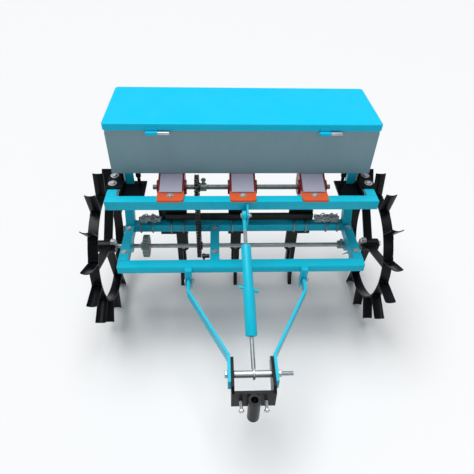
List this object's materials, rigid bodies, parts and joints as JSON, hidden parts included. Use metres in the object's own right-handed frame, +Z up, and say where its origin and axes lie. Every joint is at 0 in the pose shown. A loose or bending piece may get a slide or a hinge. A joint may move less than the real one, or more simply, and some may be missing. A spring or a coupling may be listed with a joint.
{
  "type": "corn planter",
  "caption": "Three-row corn planter with a grey seed hopper on a blue tube frame, two black lug wheels, chain-driven seed meters and a drawbar with a turnbuckle.",
  "frame": {"origin": "middle of the footprint on the ground", "axes": "+X to the right seen from the drawbar end looking back, +Y to the rear, +Z up"},
  "size_m": [1.328, 1.147, 0.9514],
  "materials": {
    "blue_paint": "gloss",
    "orange_paint": "gloss",
    "hopper_paint": "satin",
    "black_paint": "gloss",
    "zinc": "satin",
    "shaft_steel": "satin",
    "chain_steel": "satin",
    "cast_grey": "matte"
  },
  "bodies": {
    "frame": {"bracket_bolts": "zinc", "chain_bundle_left": "zinc", "chain_bundle_right": "zinc", "chain_tensioner": "chain_steel", "clamp_plates": "black_paint", "drawbar_clips": "blue_paint", "drive_chain": "chain_steel", "frame_bolts": "zinc", "hanger_plates": "blue_paint", "hanger_rods": "black_paint", "hopper_body": "hopper_paint", "hopper_brackets": "black_paint", "lid_hinge_pins": "zinc", "lower_front_bar": "blue_paint", "lower_rear_bar": "blue_paint", "lower_side_tubes": "blue_paint", "meter_bolts": "zinc", "meter_covers": "hopper_paint", "meter_housings": "orange_paint", "middle_tube": "blue_paint", "opener_bolts": "zinc", "opener_boots": "black_paint", "opener_knives": "black_paint", "opener_shanks": "black_paint", "pivot_bolts": "zinc", "rear_tie_bar": "black_paint", "seed_tubes": "black_paint", "shaft_bearings": "blue_paint", "top_link_bolt": "zinc", "top_link_lug": "blue_paint", "u_bolts": "zinc", "upper_front_bar": "blue_paint", "upper_side_arms": "blue_paint", "uprights": "blue_paint"},
    "axle": {"cross_shaft": "shaft_steel", "gear_wheel": "cast_grey", "shaft_collar": "cast_grey", "lower_sprocket": "chain_steel", "wheel_rim_left": "black_paint", "wheel_rim_right": "black_paint", "wheel_hubs": "black_paint", "wheel_lugs_left": "black_paint", "wheel_lugs_right": "black_paint", "lug_rivets": "black_paint", "hub_bolts": "zinc"},
    "metering": {"metering_shaft": "shaft_steel", "upper_sprocket": "chain_steel", "shaft_clamp": "cast_grey", "fluted_rollers": "cast_grey"},
    "lid": {"hopper_lid": "blue_paint", "lid_hinge_barrels": "blue_paint"},
    "drawbar": {"drawbar_arm_left": "blue_paint", "drawbar_arm_right": "blue_paint", "hitch_bolt": "zinc", "hitch_sleeve": "zinc"},
    "clevis": {"hitch_clevis": "black_paint", "adjusting_bolts": "zinc"},
    "top_link": {"upper_rod": "shaft_steel"},
    "link_rod": {"lower_rod": "zinc"},
    "turnbuckle": {"turnbuckle": "blue_paint"}
  },
  "joints": [
    {"name": "axle", "type": "hinge", "parent": "frame", "child": "axle", "pos_m": [0, 0.215, 0.3464], "axis": [1, 0, 0], "continuous": true},
    {"name": "metering", "type": "hinge", "parent": "frame", "child": "metering", "pos_m": [0, 0.215, 0.678], "axis": [1, 0, 0], "continuous": true},
    {"name": "lid", "type": "hinge", "parent": "frame", "child": "lid", "pos_m": [0, 0.23, 0.915], "axis": [1, 0, 0], "range_deg": [0, 105]},
    {"name": "drawbar", "type": "hinge", "parent": "frame", "child": "drawbar", "pos_m": [0.018, -0.004, 0.344], "axis": [1, 0, 0], "range_deg": [-4, 4]},
    {"name": "clevis", "type": "hinge", "parent": "drawbar", "child": "clevis", "pos_m": [0.018, -0.45, 0.342], "axis": [1, 0, 0], "range_deg": [-12, 12]},
    {"name": "top_link", "type": "hinge", "parent": "frame", "child": "top_link", "pos_m": [0.003, 0.08, 0.634], "axis": [1, 0, 0], "range_deg": [-2.67, 2.67]},
    {"name": "link_rod", "type": "slide", "parent": "top_link", "child": "link_rod", "axis": [0.0314, -0.8754, -0.4823], "range_m": [-0.01535, 0.01535]},
    {"name": "turnbuckle", "type": "hinge", "parent": "top_link", "child": "turnbuckle", "pos_m": [0.003, 0.08, 0.634], "axis": [0.0314, -0.8754, -0.4823], "continuous": true}
  ],
  "couplings": [
    {"joint": "metering", "follows": "axle", "ratio": 1.1111},
    {"joint": "top_link", "follows": "drawbar", "ratio": 0.6473},
    {"joint": "link_rod", "follows": "drawbar", "m_per_rad": 0.21352}
  ]
}
